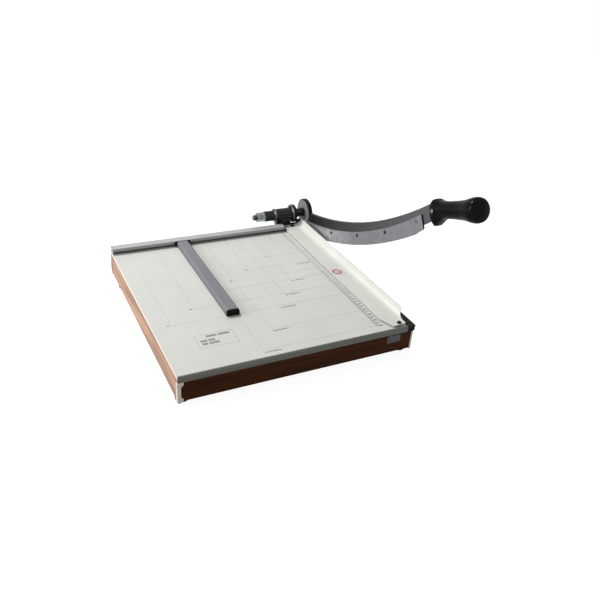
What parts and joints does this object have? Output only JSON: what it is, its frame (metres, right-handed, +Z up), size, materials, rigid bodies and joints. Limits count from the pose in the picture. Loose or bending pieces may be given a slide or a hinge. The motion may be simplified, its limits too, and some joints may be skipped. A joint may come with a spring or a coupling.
{
  "type": "paper cutter",
  "caption": "Guillotine paper cutter: wooden bed with printed sheet sizes, fence, sliding paper stop and cut guard, and a curved blade arm hinged behind the bed.",
  "frame": {"origin": "middle of the cutter's box at rest, at the level of the feet's undersides", "axes": "+X to the right, towards the cut; +Y to the back, towards the hinge; +Z up"},
  "size_m": [0.4852, 0.6066, 0.3393],
  "materials": {
    "bed_laminate": "satin laminate, very light warm grey",
    "wood": "varnished, reddish brown",
    "batten_wood": "unfinished",
    "knife_steel": "ground, darkened",
    "black_screw": "blackened",
    "trim_aluminium": "dull grey",
    "cream_plastic": "matt",
    "foot_rubber": "matt black",
    "fence_aluminium": "satin grey",
    "zinc": "zinc plated",
    "black_plastic": "matt black",
    "guard_paint": "cream paint",
    "hinge_iron": "painted dark grey",
    "bush_bronze": "bearing bronze",
    "arm_paint": "dark grey",
    "blade_steel": "ground",
    "dark_steel": "blackened",
    "handle_plastic": "glossy black"
  },
  "bodies": {
    "base": {"top_panel": "bed_laminate", "front_rail": "wood", "rear_rail": "wood", "left_rail": "wood", "right_rail": "wood", "cross_batten_front": "batten_wood", "cross_batten_rear": "batten_wood", "bed_knife": "knife_steel", "knife_screw_1": "black_screw", "knife_screw_2": "black_screw", "knife_screw_3": "black_screw", "knife_screw_4": "black_screw", "guard_screw_front": "black_screw", "guard_screw_rear": "black_screw", "front_trim": "trim_aluminium", "corner_front_left": "cream_plastic", "corner_front_right": "cream_plastic", "corner_rear_left": "cream_plastic", "corner_rear_right": "cream_plastic", "foot_front_left": "foot_rubber", "foot_front_right": "foot_rubber", "foot_rear_left": "foot_rubber", "foot_rear_right": "foot_rubber", "fence": "fence_aluminium", "fence_cap_left": "fence_aluminium", "fence_screw_1": "zinc", "fence_screw_2": "zinc", "fence_screw_3": "zinc", "guard_spacer_front": "zinc", "guard_spacer_rear": "zinc", "bracket_bolt_1": "zinc", "bracket_bolt_2": "zinc", "bracket_bolt_3": "zinc", "bracket_bolt_4": "zinc", "fence_cap_right": "black_plastic", "guard": "guard_paint", "hinge_bracket": "hinge_iron", "hinge_bush": "bush_bronze"},
    "arm": {"arm": "arm_paint", "blade": "blade_steel", "blade_screw_1": "zinc", "blade_screw_2": "zinc", "blade_screw_3": "zinc", "blade_screw_4": "zinc", "hinge_bolt": "zinc", "spacer_sleeve": "dark_steel", "thrust_collar": "dark_steel", "thrust_washer": "zinc", "spring_cup": "dark_steel", "hinge_spring": "blade_steel", "hinge_nut": "zinc", "lock_nut": "zinc", "handle": "handle_plastic", "handle_pin": "zinc"},
    "paper_stop": {"stop_bar": "fence_aluminium", "stop_cap": "black_plastic", "stop_slider": "black_plastic"}
  },
  "joints": [
    {"name": "arm_hinge", "type": "hinge", "parent": "base", "child": "arm", "pos_m": [0.16089, 0.27225, 0.0833], "axis": [-1, 0, 0], "range_deg": [-22.5, 45]},
    {"name": "stop_slide", "type": "slide", "parent": "base", "child": "paper_stop", "axis": [1, 0, 0], "range_m": [-0.126, 0.22]}
  ]
}
